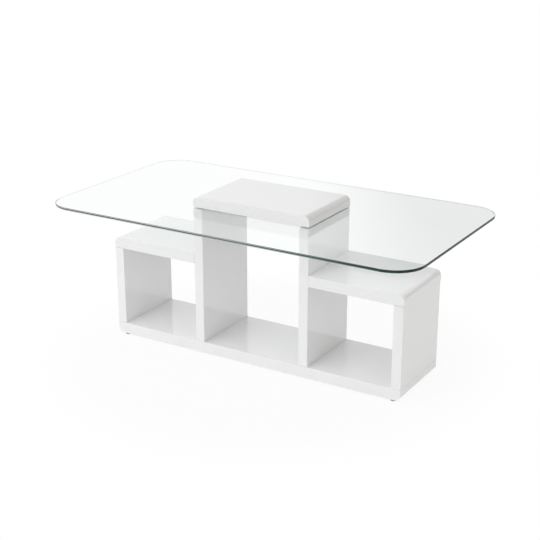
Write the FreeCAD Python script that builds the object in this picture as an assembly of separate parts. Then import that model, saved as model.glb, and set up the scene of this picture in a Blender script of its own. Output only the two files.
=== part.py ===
import FreeCAD, Part
import math
import os

# Coffee table: a stepped white base on glides, and a glass top held down by a cap board.
# Sizes are in millimetres. +Z is up, +X runs along the table and the front faces -Y.
# The origin is on the floor, under the middle of the table.

# Glass top
GLASS_LENGTH = 1200.0
GLASS_WIDTH = 650.0
GLASS_THICKNESS = 8.0
GLASS_CORNER_RADIUS = 90.0
GLASS_ARRIS = 1.0

# Boards of the base
BASE_LENGTH = 988.0
BASE_DEPTH = 248.0
BASE_THICKNESS = 35.0
BASE_END_RADIUS = 18.0
TOWER_WIDTH = 390.0
UPRIGHT_THICKNESS = 30.0
LOW_UPRIGHT_HEIGHT = 250.0
TALL_UPRIGHT_HEIGHT = 417.0
SHELF_THICKNESS = 33.0
SHELF_END_RADIUS = 18.0
CAP_THICKNESS = 32.0
CAP_END_RADIUS = 18.0
BOARD_OVERHANG = 1.5
EDGE_EASE = 1.2

# Push-in glides under the base board
GLIDE_DIAMETER = 18.0
GLIDE_HEIGHT = 6.0
GLIDE_SPIGOT_DIAMETER = 6.0
GLIDE_SPIGOT_LENGTH = 10.0
GLIDE_END_INSET = 27.0
GLIDE_FRONT_INSET = 14.0

# Glued joints between the boards: wooden biscuits in sawn slots
BISCUIT_LENGTH = 56.0
BISCUIT_WIDTH = 23.0
BISCUIT_THICKNESS = 4.0
BISCUIT_END_WIDTH = 6.0
BISCUIT_SPACING = 120.0

# Studs, inserts, sleeves, gaskets and sockets that clamp the glass on the tower
STUD_DIAMETER = 8.0
STUD_SPACING = 120.0
INSERT_DIAMETER = 12.0
INSERT_LENGTH = 20.0
SLEEVE_DIAMETER = 12.0
GASKET_WIDTH = 20.0
GASKET_THICKNESS = 1.0
GASKET_GAP = 8.0
SOCKET_DIAMETER = 12.0
SOCKET_LENGTH = 20.0
SOCKET_END_WALL = 2.0

# Clearance round a piece in its bore or slot, and spare depth at the bottom of a blind one
FIT_CLEARANCE = 0.1
BORE_SPARE = 0.5

# Heights worked out from the floor up
BASE_BOTTOM = GLIDE_HEIGHT
BASE_TOP = BASE_BOTTOM + BASE_THICKNESS
SHELF_BOTTOM = BASE_TOP + LOW_UPRIGHT_HEIGHT
SHELF_TOP = SHELF_BOTTOM + SHELF_THICKNESS
SHELF_MIDDLE = SHELF_BOTTOM + SHELF_THICKNESS / 2
TOWER_TOP = BASE_TOP + TALL_UPRIGHT_HEIGHT
GLASS_BOTTOM = TOWER_TOP + GASKET_THICKNESS
GLASS_TOP = GLASS_BOTTOM + GLASS_THICKNESS
CAP_BOTTOM = GLASS_TOP + GASKET_THICKNESS
CAP_TOP = CAP_BOTTOM + CAP_THICKNESS

# Places along and across the table, for its right-hand half
BASE_END = BASE_LENGTH / 2
TOWER_SIDE = TOWER_WIDTH / 2
SHELF_END = BASE_END + BOARD_OVERHANG
CAP_END = TOWER_SIDE + BOARD_OVERHANG
LOW_UPRIGHT_MIDDLE = BASE_END - UPRIGHT_THICKNESS / 2
TALL_UPRIGHT_MIDDLE = TOWER_SIDE - UPRIGHT_THICKNESS / 2
GLIDE_X = BASE_END - GLIDE_END_INSET
GLIDE_Y = BASE_DEPTH / 2 - GLIDE_FRONT_INSET

ORIGIN = FreeCAD.Vector(0, 0, 0)
ALONG = FreeCAD.Vector(1, 0, 0)
BACK = FreeCAD.Vector(0, 1, 0)
UP = FreeCAD.Vector(0, 0, 1)
FULL_TURN = 360.0
SHARP_ANGLE = math.radians(5)


# Shared shapes
def both_ways(distance):
    return [-distance, distance]


def pair(spacing):
    """Two places, centred on zero."""
    return both_ways(spacing / 2)


def mirrored(shape):
    """The left-hand copy of a right-hand piece."""
    return shape.mirror(ORIGIN, ALONG)


def group(solids):
    return Part.makeCompound(solids)


def bored(solid, tools):
    return solid.cut(tools).Solids[0]


def plug(diameter, length, place, axis=UP):
    """Plain round piece that starts at place and runs along axis."""
    return Part.makeCylinder(diameter / 2, length, place, axis)


def bore(diameter, depth, place, axis=UP):
    """Tool for the blind bore that takes such a piece."""
    return plug(diameter + 2 * FIT_CLEARANCE, depth + BORE_SPARE, place, axis)


def turned(profile, place):
    """Solid turned about the vertical from (radius, height) corners, standing on place."""
    corners = [FreeCAD.Vector(radius, 0, height) for radius, height in profile]
    solid = Part.Face(Part.makePolygon(corners + corners[:1])).revolve(ORIGIN, UP, FULL_TURN)
    solid.translate(place)
    return solid


def rounded_outline(corners, radii):
    """Closed wire through convex corners, each rounded by its own radius."""
    arcs = []
    stops = []
    for number, corner in enumerate(corners):
        arriving = (corner - corners[number - 1]).normalize()
        leaving = (corners[(number + 1) % len(corners)] - corner).normalize()
        radius = radii[number]
        start = corner - arriving * radius
        end = corner + leaving * radius
        if radius > 0:
            centre = start + leaving * radius
            middle = centre + (arriving - leaving).normalize() * radius
            arcs.append(Part.Arc(start, middle, end).toShape())
        stops.append((start, end))
    lines = []
    for number, (start, end) in enumerate(stops):
        lines.append(Part.LineSegment(stops[number - 1][1], start).toShape())
    return Part.Wire(Part.__sortEdges__(arcs + lines))


def sharp_edges(solid):
    """Edges whose two faces meet at an angle, so not the lines where a round runs into a flat."""
    chosen = []
    for edge in solid.Edges:
        middle = edge.valueAt((edge.FirstParameter + edge.LastParameter) / 2)
        faces = solid.ancestorsOfType(edge, Part.Face)
        normals = [face.normalAt(*face.Surface.parameter(middle)) for face in faces]
        if len(normals) == 2 and normals[0].getAngle(normals[1]) > SHARP_ANGLE:
            chosen.append(edge)
    return chosen


def board(left, right, bottom, top, radii=(0, 0, 0, 0)):
    """Board over the full depth with eased edges; radii run from low left round to top left."""
    front = -BASE_DEPTH / 2
    corners = [
        FreeCAD.Vector(left, front, bottom),
        FreeCAD.Vector(right, front, bottom),
        FreeCAD.Vector(right, front, top),
        FreeCAD.Vector(left, front, top),
    ]
    blank = Part.Face(rounded_outline(corners, radii)).extrude(BACK * BASE_DEPTH)
    return blank.makeChamfer(EDGE_EASE, sharp_edges(blank))


# Biscuits: flat wooden lenses that lie half in one board and half in the next
def lens(place, across, grow=0.0, spare=0.0):
    """Biscuit centred on place, with its width along across; grown, it is the tool for its slot."""
    half_length = BISCUIT_LENGTH / 2 + spare
    half_width = BISCUIT_WIDTH / 2 + spare
    half_end = BISCUIT_END_WIDTH / 2 + spare
    thickness = BISCUIT_THICKNESS + 2 * grow
    normal = BACK.cross(across)
    middle = place - normal * (thickness / 2)
    edges = []
    for side in (across, -across):
        ends = [middle + BACK * reach + side * half_end for reach in both_ways(half_length)]
        edges.append(Part.Arc(ends[0], middle + side * half_width, ends[1]).toShape())
    for reach in both_ways(half_length):
        tips = [middle + BACK * reach + across * half for half in both_ways(half_end)]
        edges.append(Part.LineSegment(*tips).toShape())
    return Part.Face(Part.Wire(Part.__sortEdges__(edges))).extrude(normal * thickness)


def slots(places, across):
    return [lens(place, across, FIT_CLEARANCE, BORE_SPARE) for place in places]


def base_joint(x):
    return [FreeCAD.Vector(x, y, BASE_TOP) for y in pair(BISCUIT_SPACING)]


def shelf_end_joint():
    return [FreeCAD.Vector(LOW_UPRIGHT_MIDDLE, y, SHELF_BOTTOM) for y in pair(BISCUIT_SPACING)]


def shelf_side_joint():
    return [FreeCAD.Vector(TOWER_SIDE, y, SHELF_MIDDLE) for y in pair(BISCUIT_SPACING)]


def biscuits(places, across):
    """Biscuits of a right-hand joint and of the same joint on the left."""
    solids = [lens(place, across) for place in places]
    return group(solids + [mirrored(solid) for solid in solids])


# Glides
def glide_places():
    return {
        "front_left_glide": FreeCAD.Vector(-GLIDE_X, -GLIDE_Y, 0),
        "front_right_glide": FreeCAD.Vector(GLIDE_X, -GLIDE_Y, 0),
        "back_left_glide": FreeCAD.Vector(-GLIDE_X, GLIDE_Y, 0),
        "back_right_glide": FreeCAD.Vector(GLIDE_X, GLIDE_Y, 0),
    }


def glide(place):
    """Round foot with a spigot that presses into the base board."""
    foot = GLIDE_DIAMETER / 2
    spigot = GLIDE_SPIGOT_DIAMETER / 2
    tip = GLIDE_HEIGHT + GLIDE_SPIGOT_LENGTH
    profile = [
        (0, 0),
        (foot, 0),
        (foot, GLIDE_HEIGHT),
        (spigot, GLIDE_HEIGHT),
        (spigot, tip),
        (0, tip),
    ]
    return turned(profile, place)


def glide_bores():
    seats = [place + UP * GLIDE_HEIGHT for place in glide_places().values()]
    return [bore(GLIDE_SPIGOT_DIAMETER, GLIDE_SPIGOT_LENGTH, seat) for seat in seats]


# Clamp of the glass: studs stand in the uprights, pass the glass and push into the cap
def stud_places(height):
    columns = both_ways(TALL_UPRIGHT_MIDDLE)
    return [FreeCAD.Vector(x, y, height) for x in columns for y in pair(STUD_SPACING)]


def stud_hole():
    return STUD_DIAMETER + 2 * FIT_CLEARANCE


def tube(outer, length, place, axis=UP):
    """Round piece with a hole for a stud."""
    return bored(plug(outer, length, place, axis), [plug(stud_hole(), length, place, axis)])


def cap_stud(place):
    """Stud from the bottom of its insert almost to the end of its socket."""
    grip = CAP_BOTTOM - TOWER_TOP
    length = INSERT_LENGTH + grip + SOCKET_LENGTH - SOCKET_END_WALL - BORE_SPARE
    return plug(STUD_DIAMETER, length, place - UP * INSERT_LENGTH)


def stud_insert(place):
    return tube(INSERT_DIAMETER, INSERT_LENGTH, place, -UP)


def insert_bores():
    return [bore(INSERT_DIAMETER, INSERT_LENGTH, place, -UP) for place in stud_places(TOWER_TOP)]


def glass_sleeve(place):
    """Spacer tube from upright to cap, which keeps the glass off the stud."""
    return tube(SLEEVE_DIAMETER, CAP_BOTTOM - TOWER_TOP, place)


def gasket(x, height):
    """Clear strip between board and glass, from one sleeve nearly to the other."""
    length = STUD_SPACING - SLEEVE_DIAMETER - 2 * GASKET_GAP
    corner = FreeCAD.Vector(x - GASKET_WIDTH / 2, -length / 2, height)
    return Part.makeBox(GASKET_WIDTH, length, GASKET_THICKNESS, corner)


def gaskets(height):
    return group([gasket(x, height) for x in both_ways(TALL_UPRIGHT_MIDDLE)])


def cap_socket(place):
    """Closed push-fit cup that grips the end of a stud."""
    outer = SOCKET_DIAMETER / 2
    inner = stud_hole() / 2
    profile = [
        (inner, 0),
        (outer, 0),
        (outer, SOCKET_LENGTH),
        (0, SOCKET_LENGTH),
        (0, SOCKET_LENGTH - SOCKET_END_WALL),
        (inner, SOCKET_LENGTH - SOCKET_END_WALL),
    ]
    return turned(profile, place)


def socket_bores():
    return [bore(SOCKET_DIAMETER, SOCKET_LENGTH, place) for place in stud_places(CAP_BOTTOM)]


# Boards
def base_board():
    radii = (BASE_END_RADIUS, BASE_END_RADIUS, 0, 0)
    tools = glide_bores()
    for x in both_ways(LOW_UPRIGHT_MIDDLE) + both_ways(TALL_UPRIGHT_MIDDLE):
        tools += slots(base_joint(x), UP)
    return bored(board(-BASE_END, BASE_END, BASE_BOTTOM, BASE_TOP, radii), tools)


def low_upright():
    tools = slots(base_joint(LOW_UPRIGHT_MIDDLE) + shelf_end_joint(), UP)
    return bored(board(BASE_END - UPRIGHT_THICKNESS, BASE_END, BASE_TOP, SHELF_BOTTOM), tools)


def tall_upright():
    tools = slots(base_joint(TALL_UPRIGHT_MIDDLE), UP) + slots(shelf_side_joint(), ALONG)
    tools += insert_bores()
    return bored(board(TOWER_SIDE - UPRIGHT_THICKNESS, TOWER_SIDE, BASE_TOP, TOWER_TOP), tools)


def shelf_board():
    radii = (0, 0, SHELF_END_RADIUS, 0)
    tools = slots(shelf_end_joint(), UP) + slots(shelf_side_joint(), ALONG)
    return bored(board(TOWER_SIDE, SHELF_END, SHELF_BOTTOM, SHELF_TOP, radii), tools)


def tower_cap():
    radii = (0, 0, CAP_END_RADIUS, CAP_END_RADIUS)
    return bored(board(-CAP_END, CAP_END, CAP_BOTTOM, CAP_TOP, radii), socket_bores())


# Glass
def glass_top():
    """Float glass with rounded corners, arrissed edges and a drilled hole for each stud."""
    half_length = GLASS_LENGTH / 2
    half_width = GLASS_WIDTH / 2
    corners = [
        FreeCAD.Vector(-half_length, -half_width, GLASS_BOTTOM),
        FreeCAD.Vector(half_length, -half_width, GLASS_BOTTOM),
        FreeCAD.Vector(half_length, half_width, GLASS_BOTTOM),
        FreeCAD.Vector(-half_length, half_width, GLASS_BOTTOM),
    ]
    outline = rounded_outline(corners, [GLASS_CORNER_RADIUS] * len(corners))
    sheet = Part.Face(outline).extrude(UP * GLASS_THICKNESS)
    sheet = sheet.makeChamfer(GLASS_ARRIS, sharp_edges(sheet))
    hole = SLEEVE_DIAMETER + 2 * FIT_CLEARANCE
    return bored(sheet, [plug(hole, GLASS_THICKNESS, place) for place in stud_places(GLASS_BOTTOM)])


def all_pieces():
    """Every node of the table by name."""
    base_joints = base_joint(LOW_UPRIGHT_MIDDLE) + base_joint(TALL_UPRIGHT_MIDDLE)
    pieces = {
        "base_board": base_board(),
        "right_low_upright": low_upright(),
        "right_tall_upright": tall_upright(),
        "right_shelf_board": shelf_board(),
        "tower_cap": tower_cap(),
        "glass_top": glass_top(),
        "base_biscuits": biscuits(base_joints, UP),
        "shelf_end_biscuits": biscuits(shelf_end_joint(), UP),
        "shelf_side_biscuits": biscuits(shelf_side_joint(), ALONG),
        "stud_inserts": group([stud_insert(place) for place in stud_places(TOWER_TOP)]),
        "cap_studs": group([cap_stud(place) for place in stud_places(TOWER_TOP)]),
        "glass_sleeves": group([glass_sleeve(place) for place in stud_places(TOWER_TOP)]),
        "lower_glass_gaskets": gaskets(TOWER_TOP),
        "upper_glass_gaskets": gaskets(GLASS_TOP),
        "cap_sockets": group([cap_socket(place) for place in stud_places(CAP_BOTTOM)]),
    }
    for name in ("low_upright", "tall_upright", "shelf_board"):
        pieces["left_" + name] = mirrored(pieces["right_" + name])
    for name, place in glide_places().items():
        pieces[name] = glide(place)
    return pieces


os.makedirs("parts", exist_ok=True)
for name, shape in all_pieces().items():
    shape.exportStep("parts/" + name + ".step")
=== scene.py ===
import math

import bmesh
import bpy
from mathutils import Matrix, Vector


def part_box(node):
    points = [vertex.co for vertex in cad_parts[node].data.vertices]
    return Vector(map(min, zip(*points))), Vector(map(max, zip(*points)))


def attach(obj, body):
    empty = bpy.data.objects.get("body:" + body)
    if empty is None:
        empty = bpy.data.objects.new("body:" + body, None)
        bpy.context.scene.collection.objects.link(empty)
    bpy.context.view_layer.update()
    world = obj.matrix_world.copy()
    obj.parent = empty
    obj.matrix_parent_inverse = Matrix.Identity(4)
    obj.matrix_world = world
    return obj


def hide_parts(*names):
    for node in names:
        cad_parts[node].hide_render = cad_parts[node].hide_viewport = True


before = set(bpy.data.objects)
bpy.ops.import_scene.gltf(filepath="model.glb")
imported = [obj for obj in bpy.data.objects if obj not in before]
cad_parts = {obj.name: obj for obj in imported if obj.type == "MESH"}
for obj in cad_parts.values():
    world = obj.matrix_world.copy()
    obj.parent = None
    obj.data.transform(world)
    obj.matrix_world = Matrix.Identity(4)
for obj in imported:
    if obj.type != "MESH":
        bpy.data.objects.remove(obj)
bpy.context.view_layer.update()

# Coffee table: lacquered boards, a glass top and the fittings that join them.
# Sizes are in metres, in the part's own frame: +Z is up and the front faces -Y.

# Boards and glass
END_RADIUS = 0.018
END_STEPS = 24
EDGE_EASE = 0.0009
EASE_STEPS = 3
GLASS_CORNER_RADIUS = 0.090
GLASS_CORNER_STEPS = 40
GLASS_ARRIS = 0.001
GASKET_CORNER_RADIUS = 0.002
GASKET_CORNER_STEPS = 6
GASKET_EASE = 0.0002
GASKET_EASE_STEPS = 2

# Fine open line that shows on the front and the back where two boards meet
JOINT_LINE = 0.0007
JOINT_LINE_DEPTH = 0.003

# Biscuits
BISCUIT_LENGTH = 0.056
BISCUIT_WIDTH = 0.023
BISCUIT_END_WIDTH = 0.006
BISCUIT_THICKNESS = 0.004
BISCUIT_SPACING = 0.120
BISCUIT_STEPS = {"Vertices X": 5, "Vertices Y": 33, "Vertices Z": 3}
UPRIGHT, LEVEL = math.pi / 2, 0.0

# Turned fittings: rows along and across the table, and the main radii
STUD_SPACING = 0.120
STUD_RADIUS = 0.004
STUD_HOLE_RADIUS = 0.0041
FITTING_RADIUS = 0.006
THREAD_PITCH = 0.00125
THREAD_DEPTH = 0.0006
THREAD_STEPS = 6
KNURL_DEPTH = 0.0003
KNURL_TEETH = 18
FITTING_CHAMFER = 0.0006
SOCKET_END_WALL = 0.002
GLIDE_SPIGOT_RADIUS = 0.003
GLIDE_EDGE_RADIUS = 0.0016
GLIDE_EDGE_STEPS = 6
BARB_HEIGHT = 0.002
BARB_DEPTH = 0.0004
TURN_STEPS = 36

# Room round a fitting in its bore or slot, and spare depth at the bottom of a blind one
FIT_CLEARANCE = 0.0001
BORE_SPARE = 0.0005

# Edges with a sharper angle than this stay crisp, and are eased
SHARP_ANGLE = math.radians(40)
GLASS_SHARP_ANGLE = math.radians(20)

# Faces of the glass whose normal rises less than this belong to its edge
EDGE_RISE = 0.5

# Usual range of a noise, which the finishes spread over their values
NOISE_LOW, NOISE_HIGH = 0.3, 0.7


# Small helpers
def link(name, data):
    """New object in the scene, for a mesh, a lamp or a camera."""
    piece = bpy.data.objects.new(name, data)
    bpy.context.scene.collection.objects.link(piece)
    return piece


def settle(piece, sharp=SHARP_ANGLE):
    """Turns what the modifiers show into the piece's own plain mesh, with outward faces."""
    graph = bpy.context.evaluated_depsgraph_get()
    mesh = bpy.data.meshes.new_from_object(piece.evaluated_get(graph), depsgraph=graph)
    piece.modifiers.clear()
    piece.data = mesh
    build = bmesh.new()
    build.from_mesh(mesh)
    bmesh.ops.recalc_face_normals(build, faces=build.faces)
    build.to_mesh(mesh)
    build.free()
    mesh.shade_smooth()
    mesh.set_sharp_from_angle(angle=sharp)
    return piece


def even_shading(piece):
    """Lets the large flat faces keep their own normals beside small eased edges."""
    modifier = piece.modifiers.new("shading", "WEIGHTED_NORMAL")
    modifier.keep_sharp = True
    modifier.weight = 100
    graph = bpy.context.evaluated_depsgraph_get()
    piece.data = bpy.data.meshes.new_from_object(piece.evaluated_get(graph), depsgraph=graph)
    piece.modifiers.clear()


def put(tree, kind, values=None, **settings):
    """Adds a node; values are its inputs by name or number, each a plain value or a socket to link."""
    node = tree.nodes.new(kind)
    for name, setting in settings.items():
        setattr(node, name, setting)
    for key, value in (values or {}).items():
        if isinstance(value, bpy.types.NodeSocket):
            tree.links.new(value, node.inputs[key])
        else:
            node.inputs[key].default_value = value
    return node


def maths(tree, operation, first, second=0.0):
    """Output of a node that works on one or two values."""
    return put(tree, "ShaderNodeMath", {0: first, 1: second}, operation=operation).outputs[0]


def middle_of(node):
    """Middle of a node's box."""
    low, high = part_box(node)
    return (low + high) / 2


def both_ways(distance):
    """The same distance to either side."""
    return (-distance, distance)


# Node trees for the fittings
def new_tree(name, inputs):
    """Geometry node tree with named inputs; gives the tree and the sockets of its inputs."""
    tree = bpy.data.node_groups.new(name, "GeometryNodeTree")
    tree.interface.new_socket("Geometry", in_out="INPUT", socket_type="NodeSocketGeometry")
    for label, kind in inputs.items():
        tree.interface.new_socket(label, in_out="INPUT", socket_type="NodeSocket" + kind)
    tree.interface.new_socket("Geometry", in_out="OUTPUT", socket_type="NodeSocketGeometry")
    return tree, tree.nodes.new("NodeGroupInput").outputs


def end_tree(tree, places, shape, given, turn=(0, 0, 0)):
    """Sets the shape on every place, as one real mesh in the given material."""
    copies = put(
        tree, "GeometryNodeInstanceOnPoints", {"Points": places, "Instance": shape, "Rotation": turn}
    ).outputs[0]
    real = put(tree, "GeometryNodeRealizeInstances", {0: copies}).outputs[0]
    dressed = put(
        tree, "GeometryNodeSetMaterial", {"Geometry": real, "Material": given["Material"]}
    ).outputs[0]
    put(tree, "NodeGroupOutput", {0: dressed})
    return tree


def turned_tree():
    """Turns a profile of (radius, relief, height) points and sets it at four places.

    Where relief is one, a thread and a straight knurl are cut into the surface."""
    tree, given = new_tree(
        "turned_fittings",
        {
            "Steps": "Int",
            "Thread pitch": "Float",
            "Thread depth": "Float",
            "Knurl teeth": "Float",
            "Knurl depth": "Float",
            "Apart along": "Float",
            "Apart across": "Float",
            "Material": "Material",
        },
    )
    rows = put(tree, "GeometryNodeAttributeDomainSize", {0: given["Geometry"]}).outputs["Point Count"]
    ring = maths(tree, "ADD", given["Steps"], 1.0)
    sheet = put(tree, "GeometryNodeMeshGrid", {"Vertices X": rows, "Vertices Y": ring}).outputs[0]
    number = put(tree, "GeometryNodeInputIndex").outputs[0]
    row = maths(tree, "FLOOR", maths(tree, "DIVIDE", maths(tree, "ADD", number, 0.5), ring))
    column = maths(tree, "SUBTRACT", number, maths(tree, "MULTIPLY", row, ring))
    place = put(tree, "GeometryNodeInputPosition").outputs[0]
    point = put(
        tree,
        "GeometryNodeSampleIndex",
        {"Geometry": given["Geometry"], "Value": place, "Index": row},
        data_type="FLOAT_VECTOR",
    ).outputs[0]
    radius, relief, height = put(tree, "ShaderNodeSeparateXYZ", {0: point}).outputs
    share = maths(tree, "DIVIDE", column, given["Steps"])
    angle = maths(tree, "MULTIPLY", share, math.tau)
    lead = maths(tree, "ADD", maths(tree, "DIVIDE", height, given["Thread pitch"]), share)
    thread = maths(tree, "MULTIPLY", maths(tree, "PINGPONG", lead, 0.5), 2.0)
    tooth = maths(tree, "COSINE", maths(tree, "MULTIPLY", angle, given["Knurl teeth"]))
    knurl = maths(tree, "ADD", maths(tree, "MULTIPLY", tooth, 0.5), 0.5)
    cut = maths(
        tree,
        "ADD",
        maths(tree, "MULTIPLY", thread, given["Thread depth"]),
        maths(tree, "MULTIPLY", knurl, given["Knurl depth"]),
    )
    reach = maths(tree, "SUBTRACT", radius, maths(tree, "MULTIPLY", cut, relief))
    spot = put(
        tree,
        "ShaderNodeCombineXYZ",
        {
            0: maths(tree, "MULTIPLY", reach, maths(tree, "COSINE", angle)),
            1: maths(tree, "MULTIPLY", reach, maths(tree, "SINE", angle)),
            2: height,
        },
    ).outputs[0]
    shape = put(tree, "GeometryNodeSetPosition", {"Geometry": sheet, "Position": spot}).outputs[0]
    closed = put(
        tree, "GeometryNodeMergeByDistance", {"Geometry": shape, "Distance": 1e-6}
    ).outputs[0]
    places = put(
        tree,
        "GeometryNodeMeshGrid",
        {
            "Size X": given["Apart along"],
            "Size Y": given["Apart across"],
            "Vertices X": 2,
            "Vertices Y": 2,
        },
    ).outputs[0]
    return end_tree(tree, places, closed, given)


def biscuit_tree():
    """Sets a flat lens, with its length across the table, at every given point."""
    tree, given = new_tree(
        "biscuits",
        {
            "Length": "Float",
            "Width": "Float",
            "End width": "Float",
            "Thickness": "Float",
            "Turn": "Rotation",
            "Material": "Material",
        },
    )
    size = put(tree, "ShaderNodeCombineXYZ", {0: 1.0, 1: given["Length"], 2: given["Thickness"]})
    blank = put(
        tree,
        "GeometryNodeMeshCube",
        {"Size": size.outputs[0], **BISCUIT_STEPS},
    ).outputs[0]
    place = put(tree, "GeometryNodeInputPosition").outputs[0]
    across, along, up = put(tree, "ShaderNodeSeparateXYZ", {0: place}).outputs
    half_length = maths(tree, "MULTIPLY", given["Length"], 0.5)
    bulge = maths(
        tree, "MULTIPLY", maths(tree, "SUBTRACT", given["Width"], given["End width"]), 0.5
    )
    chord = maths(tree, "MULTIPLY", half_length, half_length)
    radius = maths(
        tree,
        "DIVIDE",
        maths(tree, "ADD", chord, maths(tree, "MULTIPLY", bulge, bulge)),
        maths(tree, "MULTIPLY", bulge, 2.0),
    )
    square = maths(
        tree,
        "SUBTRACT",
        maths(tree, "MULTIPLY", radius, radius),
        maths(tree, "MULTIPLY", along, along),
    )
    drop = maths(tree, "SUBTRACT", radius, maths(tree, "SQRT", square))
    width = maths(tree, "SUBTRACT", given["Width"], maths(tree, "MULTIPLY", drop, 2.0))
    spot = put(
        tree, "ShaderNodeCombineXYZ", {0: maths(tree, "MULTIPLY", across, width), 1: along, 2: up}
    ).outputs[0]
    shape = put(tree, "GeometryNodeSetPosition", {"Geometry": blank, "Position": spot}).outputs[0]
    points = put(tree, "GeometryNodeMeshToPoints", {0: given["Geometry"]}).outputs[0]
    return end_tree(tree, points, shape, given, given["Turn"])


def made(name, tree, points, values):
    """Piece that a node tree makes from points, with its named inputs set."""
    mesh = bpy.data.meshes.new(name)
    mesh.from_pydata(points, [], [])
    piece = link(name, mesh)
    modifier = piece.modifiers.new("shape", "NODES")
    modifier.node_group = tree
    for socket in tree.interface.items_tree:
        if socket.in_out == "INPUT" and socket.name in values:
            modifier[socket.identifier] = values[socket.name]
    return settle(piece)


def turned(name, profile, along, across, material, **relief):
    """Four turned fittings, with a thread or knurl where one is given."""
    values = {
        "Steps": TURN_STEPS,
        "Thread pitch": THREAD_PITCH,
        "Apart along": along,
        "Apart across": across,
        "Material": material,
    }
    values.update({label.replace("_", " ").capitalize(): value for label, value in relief.items()})
    return made(name, TURNED, profile, values)


def biscuits(name, places, turn, material, spare=0.0, clearance=0.0):
    """Biscuits at the given places; with spare and clearance they are the tools for their slots."""
    values = {
        "Length": BISCUIT_LENGTH + 2 * spare,
        "Width": BISCUIT_WIDTH + 2 * spare,
        "End width": BISCUIT_END_WIDTH + 2 * spare,
        "Thickness": BISCUIT_THICKNESS + 2 * clearance,
        "Turn": (0, turn, 0),
        "Material": material,
    }
    return made(name, BISCUITS, places, values)


def slots(name, places, turn):
    """Tools for the slots of biscuits."""
    return biscuits(name, places, turn, None, BORE_SPARE, FIT_CLEARANCE)


def bores(name, radius, bottom, top, along, across):
    """Tools for the bores of turned fittings."""
    return turned(name, pin(radius + FIT_CLEARANCE, bottom, top), along, across, None)


# Profiles of the turned fittings, as (radius, relief, height) from the axis round
def pin(radius, bottom, top):
    """Plain cylinder, for a tool."""
    return [(0, 0, bottom), (radius, 0, bottom), (radius, 0, top), (0, 0, top)]


def wall(radius, bottom, top, relief=0.0, step=None):
    """Points up a cylinder, close enough together for a thread where a step is given."""
    count = max(1, round(abs(top - bottom) / step)) if step else 1
    return [(radius, relief, bottom + (top - bottom) * n / count) for n in range(count + 1)]


def glide_profile(sole, seat, tip, foot):
    """Foot with a rounded lower edge, and a spigot with barbs."""
    edge = GLIDE_EDGE_RADIUS
    profile = [(0, 0, sole)]
    for step in range(GLIDE_EDGE_STEPS + 1):
        angle = math.pi / 2 * step / GLIDE_EDGE_STEPS
        profile.append(
            (foot - edge + edge * math.sin(angle), 0, sole + edge - edge * math.cos(angle))
        )
    profile += [(foot, 0, seat - FITTING_CHAMFER), (foot - FITTING_CHAMFER, 0, seat)]
    height = seat
    while height + BARB_HEIGHT < tip:
        profile += [
            (GLIDE_SPIGOT_RADIUS, 0, height),
            (GLIDE_SPIGOT_RADIUS - BARB_DEPTH, 0, height + BARB_HEIGHT),
        ]
        height += BARB_HEIGHT
    return profile + [(GLIDE_SPIGOT_RADIUS - 2 * BARB_DEPTH, 0, tip), (0, 0, tip)]


def stud_profile(bottom, seat, clamp, top):
    """Rod with a thread in its insert, a plain shank past the glass and grooves in its socket."""
    radius, bevel = STUD_RADIUS, FITTING_CHAMFER
    profile = [(0, 0, bottom), (radius - bevel, 0, bottom)]
    profile += wall(radius, bottom + bevel, seat, relief=1.0, step=THREAD_PITCH / THREAD_STEPS)
    profile += wall(radius, seat, clamp)
    height = clamp
    while height + BARB_HEIGHT < top - bevel:
        profile += [(radius - BARB_DEPTH, 0, height), (radius, 0, height + BARB_HEIGHT)]
        height += BARB_HEIGHT
    return profile + [(radius - bevel, 0, top), (0, 0, top)]


def tube_profile(bottom, top, relief):
    """Tube round a stud, with its outer ends chamfered; the first point closes it."""
    outer, inner, bevel = FITTING_RADIUS, STUD_HOLE_RADIUS, FITTING_CHAMFER
    outside = wall(outer, bottom + bevel, top - bevel, relief)
    profile = [(inner, 0, bottom), (outer - bevel, 0, bottom)] + outside
    return profile + [(outer - bevel, 0, top), (inner, 0, top), (inner, 0, bottom)]


def cup_profile(bottom, top):
    """Closed cup round the end of a stud, ribbed outside."""
    outer, inner, bevel = FITTING_RADIUS, STUD_HOLE_RADIUS, FITTING_CHAMFER
    profile = [(0, 0, top - SOCKET_END_WALL), (inner, 0, top - SOCKET_END_WALL), (inner, 0, bottom)]
    profile += [(outer - bevel, 0, bottom)] + wall(outer, bottom + bevel, top - bevel, relief=1.0)
    return profile + [(outer - bevel, 0, top), (0, 0, top)]


# Flat pieces
def rounded_rectangle(low, high, radii, steps):
    """Points round a rectangle, anticlockwise from its low left corner, each corner with its radius."""
    points = []
    for turn, radius in enumerate(radii):
        right, top = turn in (1, 2), turn in (2, 3)
        u = high[0] - radius if right else low[0] + radius
        v = high[1] - radius if top else low[1] + radius
        count = steps if radius else 0
        for step in range(count + 1):
            angle = math.pi * (1 + turn / 2) + math.pi / 2 * step / max(count, 1)
            points.append((u + radius * math.cos(angle), v + radius * math.sin(angle)))
    return points


def extruded(name, rims, material):
    """Solids between pairs of matching rims, as one piece."""
    build = bmesh.new()
    for near, far in rims:
        first = [build.verts.new(point) for point in near]
        second = [build.verts.new(point) for point in far]
        build.faces.new(first)
        build.faces.new(second)
        for number in range(len(first)):
            build.faces.new((first[number - 1], first[number], second[number], second[number - 1]))
    bmesh.ops.recalc_face_normals(build, faces=build.faces)
    mesh = bpy.data.meshes.new(name)
    build.to_mesh(mesh)
    build.free()
    mesh.materials.append(material)
    return link(name, mesh)


def ease(piece, width, steps):
    """Softens the sharp edges."""
    modifier = piece.modifiers.new("eased edges", "BEVEL")
    modifier.width = width
    modifier.segments = steps
    modifier.limit_method = "ANGLE"
    modifier.angle_limit = SHARP_ANGLE


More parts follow.
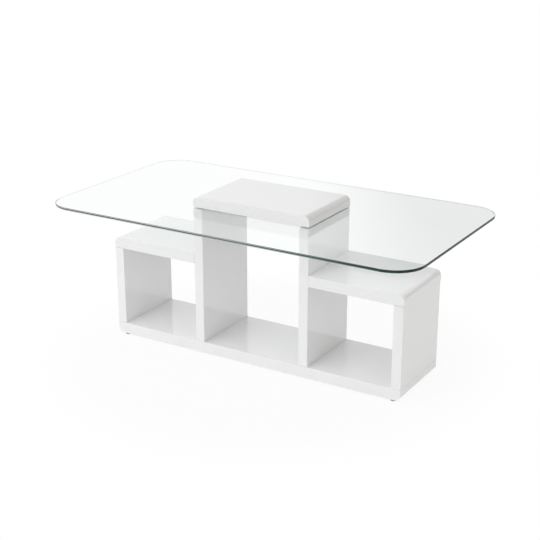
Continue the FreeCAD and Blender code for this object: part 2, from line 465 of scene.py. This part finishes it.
def cut(piece, tools):
    """Takes the tools' shapes out of the piece."""
    for tool in tools:
        modifier = piece.modifiers.new("cut " + tool.name, "BOOLEAN")
        modifier.operation = "DIFFERENCE"
        modifier.object = tool
        modifier.solver = "EXACT"


def board(node, rounded, tools, material):
    """Lacquered board in place of a node; rounded names its corners with a large radius."""
    low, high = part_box(node)
    corners = ("low left", "low right", "top right", "top left")
    radii = [END_RADIUS if corner in rounded else 0.0 for corner in corners]
    face = rounded_rectangle((low.x, low.z), (high.x, high.z), radii, END_STEPS)
    rims = [[(x, low.y, z) for x, z in face], [(x, high.y, z) for x, z in face]]
    piece = extruded("lacquered_" + node, [rims], material)
    ease(piece, EDGE_EASE, EASE_STEPS)
    cut(piece, tools)
    even_shading(settle(piece))
    return piece


def joint_bars(name, front, lines):
    """Thin bars along the front and the back, for the open lines between two boards."""
    rims = []
    for (left, bottom), (right, top) in lines:
        face = ((left, bottom), (right, bottom), (right, top), (left, top))
        for y in both_ways(front):
            near, far = y - JOINT_LINE_DEPTH, y + JOINT_LINE_DEPTH
            rims.append([[(x, near, z) for x, z in face], [(x, far, z) for x, z in face]])
    return extruded(name, rims, None)


def glass_sheet(node, tools, sheet_material, edge_material):
    """Glass with rounded corners, drilled holes and an arris round every edge."""
    low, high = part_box(node)
    radii = [GLASS_CORNER_RADIUS] * 4
    face = rounded_rectangle(low.xy, high.xy, radii, GLASS_CORNER_STEPS)
    rims = [[(x, y, low.z) for x, y in face], [(x, y, high.z) for x, y in face]]
    piece = extruded("polished_" + node, [rims], sheet_material)
    cut(piece, tools)
    ease(piece, GLASS_ARRIS, steps=1)
    settle(piece, GLASS_SHARP_ANGLE)
    piece.data.materials.append(edge_material)
    for face in piece.data.polygons:
        face.material_index = 1 if abs(face.normal.z) < EDGE_RISE else 0
    return piece


def gasket_strips(node, material):
    """Two clear strips with rounded corners, one on each tall upright."""
    low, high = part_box(node)
    middle = middle_of("right_tall_upright").x
    half = high.x - middle
    radii = [GASKET_CORNER_RADIUS] * 4
    rims = []
    for x in both_ways(middle):
        face = rounded_rectangle((x - half, low.y), (x + half, high.y), radii, GASKET_CORNER_STEPS)
        rims.append([[(u, v, low.z) for u, v in face], [(u, v, high.z) for u, v in face]])
    piece = extruded("clear_" + node, rims, material)
    ease(piece, GASKET_EASE, GASKET_EASE_STEPS)
    return settle(piece)


# Finishes
GLASS_SHADOW = (0.83, 0.855, 0.845)
GLASS_INSIDE = (0.84, 0.87, 0.86)

# Edge of the glass: range of its tones from left to right, which are its sea green with painted
# reflection on the left and painted shade on the right, their clouding, and the rims of painted light,
# which begin and end at these shares of half the thickness
EDGE_PAINTED_SHADE_SIDES = (0.25, 0.65)
EDGE_CLOUDS = 0.1
EDGE_GREEN_AND_PAINTED_SHADE = (
    (0.062, 0.064, 0.064),
    (0.032, 0.066, 0.063),
    (0.020, 0.062, 0.059),
    (0.014, 0.072, 0.067),
    (0.008, 0.038, 0.035),
)
EDGE_PAINTED_LIGHT_SPAN = (0.25, 0.6)
EDGE_PAINTED_LIGHT_COLOUR = (0.80, 0.83, 0.82, 1)


def new_finish(name):
    """New material; gives it with its node tree and its shader."""
    material = bpy.data.materials.new(name)
    material.use_nodes = True
    tree = material.node_tree
    return material, tree, tree.nodes["Principled BSDF"]


def where(tree, scale=(1, 1, 1)):
    """Place in the shared frame, stretched by the scale."""
    spot = put(tree, "ShaderNodeTexCoord").outputs["Object"]
    return put(tree, "ShaderNodeMapping", {"Vector": spot, "Scale": scale}).outputs[0]


def noise(tree, scale, detail, stretch=(1, 1, 1)):
    """Soft noise, finer with a larger scale."""
    values = {"Vector": where(tree, stretch), "Scale": scale, "Detail": detail}
    return put(tree, "ShaderNodeTexNoise", values).outputs[0]


def spread(tree, value, low, high):
    """Takes the usual range of a noise to low and high."""
    ends = {"From Min": NOISE_LOW, "From Max": NOISE_HIGH, "To Min": low, "To Max": high}
    return put(tree, "ShaderNodeMapRange", {"Value": value, **ends}).outputs[0]


def ramp(tree, value, start, end, low, high):
    """Goes gently from low to high as the value goes from start to end."""
    values = {"Value": value, "From Min": start, "From Max": end, "To Min": low, "To Max": high}
    node = put(tree, "ShaderNodeMapRange", values, interpolation_type="SMOOTHSTEP")
    return node.outputs[0]


def tones(tree, value, *colours):
    """Runs the usual range of a noise through the colours in turn."""
    node = put(tree, "ShaderNodeValToRGB", {0: value})
    stops = node.color_ramp.elements
    while len(stops) < len(colours):
        stops.new(0.5)
    for number, colour in enumerate(colours):
        share = number / (len(colours) - 1)
        stops[number].position = NOISE_LOW + (NOISE_HIGH - NOISE_LOW) * share
        stops[number].color = (*colour, 1)
    return node.outputs[0]


def mixed(tree, share, first, second):
    """Colour between the first and the second, by the share."""
    node = put(tree, "ShaderNodeMix", {0: share, 6: first, 7: second}, data_type="RGBA")
    return node.outputs[2]


def seen(tree, *kinds):
    """One for rays of the given kinds, such as those from the camera or from a mirror."""
    path = put(tree, "ShaderNodeLightPath").outputs
    found = path["Is " + kinds[0] + " Ray"]
    for kind in kinds[1:]:
        found = maths(tree, "MAXIMUM", found, path["Is " + kind + " Ray"])
    return found


def shape_surface(tree, shader, height, depth):
    """Lifts the surface by up to the depth."""
    values = {"Height": height, "Distance": depth, "Strength": 1.0}
    bump = put(tree, "ShaderNodeBump", values).outputs[0]
    tree.links.new(bump, shader.inputs["Normal"])


def dress(tree, shader, colour, roughness, **values):
    """Links the colour and roughness, and sets the plain values on the shader's own sockets."""
    tree.links.new(colour, shader.inputs["Base Color"])
    tree.links.new(roughness, shader.inputs["Roughness"])
    for label, value in values.items():
        shader.inputs[label.replace("_", " ")].default_value = value


def white_lacquer():
    """High-gloss white lacquer: faint clouding, a little orange peel and polishing marks."""
    material, tree, shader = new_finish("white_lacquer")
    clouds = noise(tree, scale=5.0, detail=3.0)
    colour = tones(tree, clouds, (0.888, 0.888, 0.891), (0.908, 0.908, 0.911))
    rough = spread(tree, noise(tree, scale=90.0, detail=4.0), 0.05, 0.10)
    waves = noise(tree, scale=240.0, detail=1.0)
    ripples = noise(tree, scale=900.0, detail=1.0)
    peel = maths(tree, "ADD", waves, maths(tree, "MULTIPLY", ripples, 0.25))
    dress(tree, shader, colour, rough, IOR=1.5, Coat_Weight=0.4, Coat_Roughness=0.03)
    shape_surface(tree, shader, peel, depth=0.000012)
    return material


def lets_through(tree, shader, share, colour):
    """Light goes straight on, tinted, where the share is one."""
    clear = put(tree, "ShaderNodeBsdfTransparent", {0: (*colour, 1)}).outputs[0]
    mix = put(tree, "ShaderNodeMixShader", {0: share, 1: shader.outputs[0], 2: clear}).outputs[0]
    tree.links.new(mix, tree.nodes["Material Output"].inputs["Surface"])


def clear_glass():
    """Float glass: nearly colourless sheet with the faintest draw lines."""
    material, tree, shader = new_finish("clear_glass")
    draw = noise(tree, scale=2.0, detail=2.0, stretch=(0.3, 3.0, 1.0))
    colour = tones(tree, draw, (0.968, 0.990, 0.979), (0.976, 0.993, 0.985))
    rough = spread(tree, noise(tree, scale=30.0, detail=3.0), 0.0, 0.004)
    dress(tree, shader, colour, rough, IOR=1.52, Transmission_Weight=1.0)
    lets_through(tree, shader, seen(tree, "Shadow"), GLASS_SHADOW)
    return material


def glass_edge(low, high):
    """Polished edge: sea green, greyed on the left by painted reflection and darkened on the right by
    painted shade, and clear from inside.

    On the left the dark part is a thin line between rims of painted light."""
    material, tree, shader = new_finish("glass_edge")
    along, _, up = put(tree, "ShaderNodeSeparateXYZ", {0: where(tree)}).outputs
    # painted reflection and painted shade: the edge is greyer towards the left and darker towards the
    # right
    side = ramp(tree, along, low.x, high.x, *EDGE_PAINTED_SHADE_SIDES)
    clouds = maths(tree, "MULTIPLY", noise(tree, scale=14.0, detail=3.0), EDGE_CLOUDS)
    core = tones(tree, maths(tree, "ADD", side, clouds), *EDGE_GREEN_AND_PAINTED_SHADE)
    half = (high.z - low.z) / 2
    away = maths(tree, "ABSOLUTE", maths(tree, "SUBTRACT", up, low.z + half))
    start, end = (half * share for share in EDGE_PAINTED_LIGHT_SPAN)
    # painted light: pale rims above and below the middle of the edge, fading out towards the right
    painted_light_rim = maths(
        tree,
        "MULTIPLY",
        ramp(tree, away, start, end, 0.0, 1.0),
        ramp(tree, along, 0.0, high.x, 1.0, 0.0),
    )
    colour = mixed(tree, painted_light_rim, core, EDGE_PAINTED_LIGHT_COLOUR)
    rough = spread(tree, noise(tree, scale=60.0, detail=3.0), 0.05, 0.14)
    dress(tree, shader, colour, rough, IOR=1.52, Specular_IOR_Level=0.2)
    grinding = noise(tree, scale=120.0, detail=2.0, stretch=(0.2, 0.2, 4.0))
    shape_surface(tree, shader, grinding, depth=0.00002)
    inside = put(tree, "ShaderNodeNewGeometry").outputs["Backfacing"]
    lets_through(tree, shader, inside, GLASS_INSIDE)
    return material


def glide_plastic():
    """Grey moulded plastic with a fine spark-eroded grain."""
    material, tree, shader = new_finish("glide_plastic")
    grain = noise(tree, scale=2600.0, detail=3.0)
    clouds = noise(tree, scale=160.0, detail=3.0)
    colour = tones(tree, clouds, (0.215, 0.215, 0.220), (0.275, 0.275, 0.280))
    dress(tree, shader, colour, spread(tree, grain, 0.42, 0.62), IOR=1.5)
    shape_surface(tree, shader, grain, depth=0.00006)
    return material


def beech():
    """Pressed beech: grain along the biscuit, short dark flecks and the press's cross pattern."""
    material, tree, shader = new_finish("beech")
    grain = noise(tree, scale=90.0, detail=5.0, stretch=(6.0, 0.6, 6.0))
    colour = tones(tree, grain, (0.420, 0.235, 0.110), (0.560, 0.350, 0.185), (0.640, 0.430, 0.250))
    spots = {"Vector": where(tree), "Scale": 420.0}
    press = put(tree, "ShaderNodeTexVoronoi", spots, feature="DISTANCE_TO_EDGE").outputs[0]
    dress(tree, shader, colour, spread(tree, grain, 0.55, 0.75), IOR=1.45)
    relief = maths(tree, "ADD", press, maths(tree, "MULTIPLY", grain, 0.4))
    shape_surface(tree, shader, relief, depth=0.0004)
    return material


def insert_brass():
    """Turned brass with fine tool lines and a little tarnish."""
    material, tree, shader = new_finish("insert_brass")
    tarnish = noise(tree, scale=180.0, detail=4.0)
    colour = tones(tree, tarnish, (0.480, 0.320, 0.110), (0.720, 0.520, 0.210))
    lines = noise(tree, scale=700.0, detail=2.0, stretch=(0.1, 0.1, 6.0))
    dress(tree, shader, colour, spread(tree, tarnish, 0.22, 0.40), Metallic=1.0)
    shape_surface(tree, shader, lines, depth=0.00003)
    return material


def stud_steel():
    """Bright zinc plating, slightly blue and yellow in patches."""
    material, tree, shader = new_finish("stud_steel")
    plating = noise(tree, scale=240.0, detail=4.0)
    colour = tones(tree, plating, (0.480, 0.500, 0.540), (0.620, 0.625, 0.630), (0.640, 0.615, 0.540))
    lines = noise(tree, scale=900.0, detail=2.0, stretch=(0.1, 0.1, 5.0))
    dress(tree, shader, colour, spread(tree, plating, 0.20, 0.38), Metallic=1.0)
    shape_surface(tree, shader, lines, depth=0.00002)
    return material


def clear_plastic():
    """Clear soft plastic, faintly milky, with flow marks from the mould."""
    material, tree, shader = new_finish("clear_plastic")
    flow = noise(tree, scale=320.0, detail=3.0)
    colour = tones(tree, flow, (0.880, 0.900, 0.890), (0.950, 0.960, 0.955))
    dress(tree, shader, colour, spread(tree, flow, 0.12, 0.26), IOR=1.46, Transmission_Weight=0.8)
    shape_surface(tree, shader, flow, depth=0.00003)
    return material


def socket_nylon():
    """Natural nylon, warm white and slightly waxy."""
    material, tree, shader = new_finish("socket_nylon")
    clouds = noise(tree, scale=200.0, detail=3.0)
    colour = tones(tree, clouds, (0.640, 0.615, 0.560), (0.720, 0.700, 0.650))
    dress(tree, shader, colour, spread(tree, clouds, 0.35, 0.50), IOR=1.53, Subsurface_Weight=0.1)
    shape_surface(tree, shader, noise(tree, scale=1500.0, detail=2.0), depth=0.00003)
    return material


# Studio
WHITE = (1, 1, 1, 1)

# Floor: its paper, and the share of plain white it shows, from under the table to well away from it
FLOOR_REACH = 30.0
FLOOR_PAPER = (0.84, 0.84, 0.84, 1)
FLOOR_WHITE = 0.92
FLOOR_FADE = (0.5, 0.8)

# Light of the sky: its strength and tint go from left to right, and its strength falls overhead
SKY_LEFT, SKY_RIGHT, SKY_TOP = 0.88, 0.76, 0.76
SKY_SIDES = (-0.7, 0.9)
SKY_RISE = (0.1, 0.9)
SKY_COOL = (0.990, 0.993, 1.0, 1)
SKY_WARM = (1.0, 0.988, 0.965, 1)
SKY_TINT_SIDES = (-0.6, 0.6)

# What polished faces mirror: brightness by the angle round the table, a bright horizon by its height,
# which fades out over a turn, and a dark ceiling, which sets in between two heights
MIRROR_DARK = 0.20
MIRROR_WALLS = (
    (-0.53, 1.0),
    (-0.38, MIRROR_DARK),
    (-0.28, MIRROR_DARK),
    (-0.05, 1.0),
    (0.12, 1.0),
    (0.28, MIRROR_DARK),
    (0.68, MIRROR_DARK),
    (0.92, 1.0),
)
MIRROR_RISE = ((0.20, 1.0), (0.31, MIRROR_DARK), (0.325, MIRROR_DARK), (0.35, 0.8))
MIRROR_RISE_TURN = (0.05, 0.25)
MIRROR_CEILING = (0.43, 0.51)
MIRROR_TOP = 0.06


def panels(tree, value, stops):
    """Brightness of bright and dark panels, eased from stop to stop of the value."""
    first, last = stops[0][0], stops[-1][0]
    values = {"Value": value, "From Min": first, "From Max": last}
    node = put(tree, "ShaderNodeValToRGB", {0: put(tree, "ShaderNodeMapRange", values).outputs[0]})
    node.color_ramp.interpolation = "EASE"
    marks = node.color_ramp.elements
    while len(marks) < len(stops):
        marks.new(1.0)
    for mark, (spot, level) in zip(marks, stops):
        mark.position = (spot - first) / (last - first)
        mark.color = (level, level, level, 1)
    return node.outputs[0]


def studio_floor():
    """Plain white floor that keeps a soft shadow."""
    build = bmesh.new()
    bmesh.ops.create_grid(build, x_segments=1, y_segments=1, size=FLOOR_REACH)
    mesh = bpy.data.meshes.new("studio_floor")
    build.to_mesh(mesh)
    build.free()
    material = bpy.data.materials.new("studio_floor")
    material.use_nodes = True
    tree = material.node_tree
    tree.nodes.remove(tree.nodes["Principled BSDF"])
    paper = put(tree, "ShaderNodeBsdfDiffuse", {"Color": FLOOR_PAPER}).outputs[0]
    white = put(tree, "ShaderNodeEmission", {"Color": WHITE, "Strength": 1.0}).outputs[0]
    away = put(tree, "ShaderNodeVectorMath", {0: where(tree)}, operation="LENGTH").outputs["Value"]
    plain = ramp(tree, away, *FLOOR_FADE, FLOOR_WHITE, 1.0)
    share = maths(tree, "MULTIPLY", seen(tree, "Camera", "Glossy", "Transmission"), plain)
    shown = put(tree, "ShaderNodeMixShader", {0: share, 1: paper, 2: white}).outputs[0]
    tree.links.new(shown, tree.nodes["Material Output"].inputs["Surface"])
    mesh.materials.append(material)
    link("studio_floor", mesh)


def studio_sky():
    """White behind the table, soft light that is stronger on the left, and panels for polished faces."""
    world = bpy.data.worlds.new("studio_sky")
    world.use_nodes = True
    tree = world.node_tree
    tree.nodes.clear()
    aim = put(tree, "ShaderNodeTexCoord").outputs["Generated"]
    right, back, up = put(tree, "ShaderNodeSeparateXYZ", {0: aim}).outputs
    level = maths(
        tree,
        "MULTIPLY",
        ramp(tree, right, *SKY_SIDES, SKY_LEFT, SKY_RIGHT),
        ramp(tree, up, *SKY_RISE, 1.0, SKY_TOP),
    )
    tint = mixed(tree, ramp(tree, right, *SKY_TINT_SIDES, 0.0, 1.0), SKY_COOL, SKY_WARM)
    turn = maths(tree, "ARCTAN2", right, back)
    horizon = maths(
        tree,
        "MULTIPLY",
        ramp(tree, turn, *MIRROR_RISE_TURN, 1.0, 0.0),
        panels(tree, up, MIRROR_RISE),
    )
    walls = maths(tree, "MAXIMUM", panels(tree, turn, MIRROR_WALLS), horizon)
    mirrored = maths(tree, "MULTIPLY", walls, ramp(tree, up, *MIRROR_CEILING, 1.0, MIRROR_TOP))
    light = put(tree, "ShaderNodeBackground", {0: tint, 1: level}).outputs[0]
    sheen = put(tree, "ShaderNodeBackground", {0: WHITE, 1: mirrored}).outputs[0]
    white = put(tree, "ShaderNodeBackground", {0: WHITE, 1: 1.0}).outputs[0]
    lit = put(tree, "ShaderNodeMixShader", {0: seen(tree, "Glossy"), 1: light, 2: sheen}).outputs[0]
    direct = seen(tree, "Camera", "Transmission")
    shown = put(tree, "ShaderNodeMixShader", {0: direct, 1: lit, 2: white}).outputs[0]
    put(tree, "ShaderNodeOutputWorld", {"Surface": shown})
    bpy.context.scene.world = world


def softbox(name, place, aim, size, power):
    """Large square lamp that isn't mirrored."""
    lamp = bpy.data.lights.new(name, "AREA")
    lamp.shape = "SQUARE"
    lamp.size = size
    lamp.energy = power
    holder = link(name, lamp)
    holder.visible_glossy = False
    holder.location = place
    holder.rotation_euler = (Vector(aim) - Vector(place)).to_track_quat("-Z", "Y").to_euler()


def camera(place, yaw, pitch, focal):
    """Camera at the photograph's angle; focal is a share of the picture's width."""
    lens = bpy.data.cameras.new("photo_camera")
    lens.sensor_width = 36.0
    lens.lens = lens.sensor_width * focal
    lens.clip_end = 100.0
    holder = link("photo_camera", lens)
    holder.location = place
    holder.rotation_euler = (math.pi / 2 - pitch, 0, -yaw)
    bpy.context.scene.camera = holder


# The table
def fit(piece, slot, *nodes):
    """Makes the piece stand for its nodes on the table."""
    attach(piece, "root")
    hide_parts(*nodes)


TURNED = turned_tree()
BISCUITS = biscuit_tree()
lacquer = white_lacquer()
wood = beech()
plastic = clear_plastic()

glide_low, glide_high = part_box("front_right_glide")
glide_place = (glide_low + glide_high) / 2
glide_foot = (glide_high.x - glide_low.x) / 2
base_low, base_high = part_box("base_board")
shelf_low, shelf_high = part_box("right_shelf_board")
tower_low, tower_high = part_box("right_tall_upright")
cap_low, cap_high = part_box("tower_cap")
glass_low, glass_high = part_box("glass_top")
insert_low, insert_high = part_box("stud_inserts")
stud_low, stud_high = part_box("cap_studs")
socket_low, socket_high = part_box("cap_sockets")
low_middle = middle_of("right_low_upright").x
tall_middle = middle_of("right_tall_upright").x

rows = both_ways(BISCUIT_SPACING / 2)
base_places = [
    (x, y, base_high.z) for x in both_ways(low_middle) + both_ways(tall_middle) for y in rows
]
end_places = [(x, y, shelf_low.z) for x in both_ways(low_middle) for y in rows]
shelf_middle = (shelf_low.z + shelf_high.z) / 2
side_places = [(x, y, shelf_middle) for x in both_ways(tower_high.x) for y in rows]


def upright_lines():
    """Lines at the foot of each upright, and at the head of the low ones, as low and high corners."""
    lines = []
    half = tower_high.x - tall_middle + JOINT_LINE_DEPTH
    for x in both_ways(low_middle) + both_ways(tall_middle):
        lines.append(((x - half, base_low.z), (x + half, base_high.z + JOINT_LINE)))
        if abs(x) > tower_high.x:
            lines.append(((x - half, shelf_low.z - JOINT_LINE), (x + half, shelf_high.z)))
    return lines


def shelf_lines():
    """Lines where the shelves meet the tall uprights; half of each is in the shelf."""
    reach = JOINT_LINE / 2
    return [((x - reach, base_high.z), (x + reach, tower_high.z)) for x in both_ways(tower_high.x)]


glide_rows = (2 * glide_place.x, -2 * glide_place.y)
stud_rows = (2 * tall_middle, STUD_SPACING)
base_slots = slots("base_slots", base_places, UPRIGHT)
end_slots = slots("shelf_end_slots", end_places, UPRIGHT)
side_slots = slots("shelf_side_slots", side_places, LEVEL)
glide_bores = bores(
    "glide_bores", GLIDE_SPIGOT_RADIUS, glide_low.z, glide_high.z + BORE_SPARE, *glide_rows
)
insert_bores = bores(
    "insert_bores", FITTING_RADIUS, insert_low.z - BORE_SPARE, cap_low.z, *stud_rows
)
sleeve_holes = bores("sleeve_holes", FITTING_RADIUS, tower_low.z, cap_high.z, *stud_rows)
socket_bores = bores(
    "socket_bores", FITTING_RADIUS, glass_low.z, socket_high.z + BORE_SPARE, *stud_rows
)
upright_bars = joint_bars("upright_joint_bars", base_low.y, upright_lines())
shelf_bars = joint_bars("shelf_joint_bars", base_low.y, shelf_lines())
tools = [base_slots, end_slots, side_slots, glide_bores, insert_bores, sleeve_holes, socket_bores]
tools += [upright_bars, shelf_bars]

BOARDS = {
    "base_board": (("low left", "low right"), [base_slots, glide_bores]),
    "left_low_upright": ((), [base_slots, end_slots, upright_bars]),
    "right_low_upright": ((), [base_slots, end_slots, upright_bars]),
    "left_tall_upright": ((), [base_slots, side_slots, insert_bores, upright_bars]),
    "right_tall_upright": ((), [base_slots, side_slots, insert_bores, upright_bars]),
    "left_shelf_board": (("top left",), [end_slots, side_slots, shelf_bars]),
    "right_shelf_board": (("top right",), [end_slots, side_slots, shelf_bars]),
    "tower_cap": (("top left", "top right"), [socket_bores]),
}
for node, (rounded, board_tools) in BOARDS.items():
    fit(board(node, rounded, board_tools, lacquer), "white_lacquer", node)
glass = glass_sheet("glass_top", [sleeve_holes], clear_glass(), glass_edge(glass_low, glass_high))
fit(glass, "clear_glass", "glass_top")
for node in ("lower_glass_gaskets", "upper_glass_gaskets"):
    fit(gasket_strips(node, plastic), "clear_plastic", node)

fit(biscuits("pressed_base_biscuits", base_places, UPRIGHT, wood), "beech", "base_biscuits")
fit(biscuits("pressed_shelf_end_biscuits", end_places, UPRIGHT, wood), "beech", "shelf_end_biscuits")
fit(biscuits("pressed_shelf_side_biscuits", side_places, LEVEL, wood), "beech", "shelf_side_biscuits")

fit(
    turned(
        "moulded_glides",
        glide_profile(glide_low.z, base_low.z, glide_high.z, glide_foot),
        *glide_rows,
        glide_plastic(),
    ),
    "glide_plastic",
    "front_left_glide",
    "front_right_glide",
    "back_left_glide",
    "back_right_glide",
)
fit(
    turned(
        "knurled_inserts",
        tube_profile(insert_low.z, insert_high.z, relief=1.0),
        *stud_rows,
        insert_brass(),
        knurl_teeth=KNURL_TEETH,
        knurl_depth=KNURL_DEPTH,
    ),
    "insert_brass",
    "stud_inserts",
)
fit(
    turned(
        "threaded_studs",
        stud_profile(stud_low.z, tower_high.z, cap_low.z, stud_high.z),
        *stud_rows,
        stud_steel(),
        thread_depth=THREAD_DEPTH,
    ),
    "stud_steel",
    "cap_studs",
)
fit(
    turned("clear_sleeves", tube_profile(tower_high.z, cap_low.z, relief=0.0), *stud_rows, plastic),
    "clear_plastic",
    "glass_sleeves",
)
fit(
    turned(
        "ribbed_sockets",
        cup_profile(socket_low.z, socket_high.z),
        *stud_rows,
        socket_nylon(),
        knurl_teeth=KNURL_TEETH,
        knurl_depth=KNURL_DEPTH,
    ),
    "socket_nylon",
    "cap_sockets",
)

for tool in tools:
    bpy.data.objects.remove(tool)

studio_floor()
studio_sky()
softbox("key_softbox", place=(-0.8, -3.6, 2.7), aim=(0, 0, 0.25), size=4.5, power=47.0)
softbox("top_softbox", place=(-1.6, -1.6, 3.2), aim=(0, 0, 0.3), size=3.0, power=20.0)
camera(place=(1.7155, -2.8466, 1.4672), yaw=-0.5438, pitch=0.3462, focal=2.1728)
bpy.context.scene.view_settings.view_transform = "Standard"
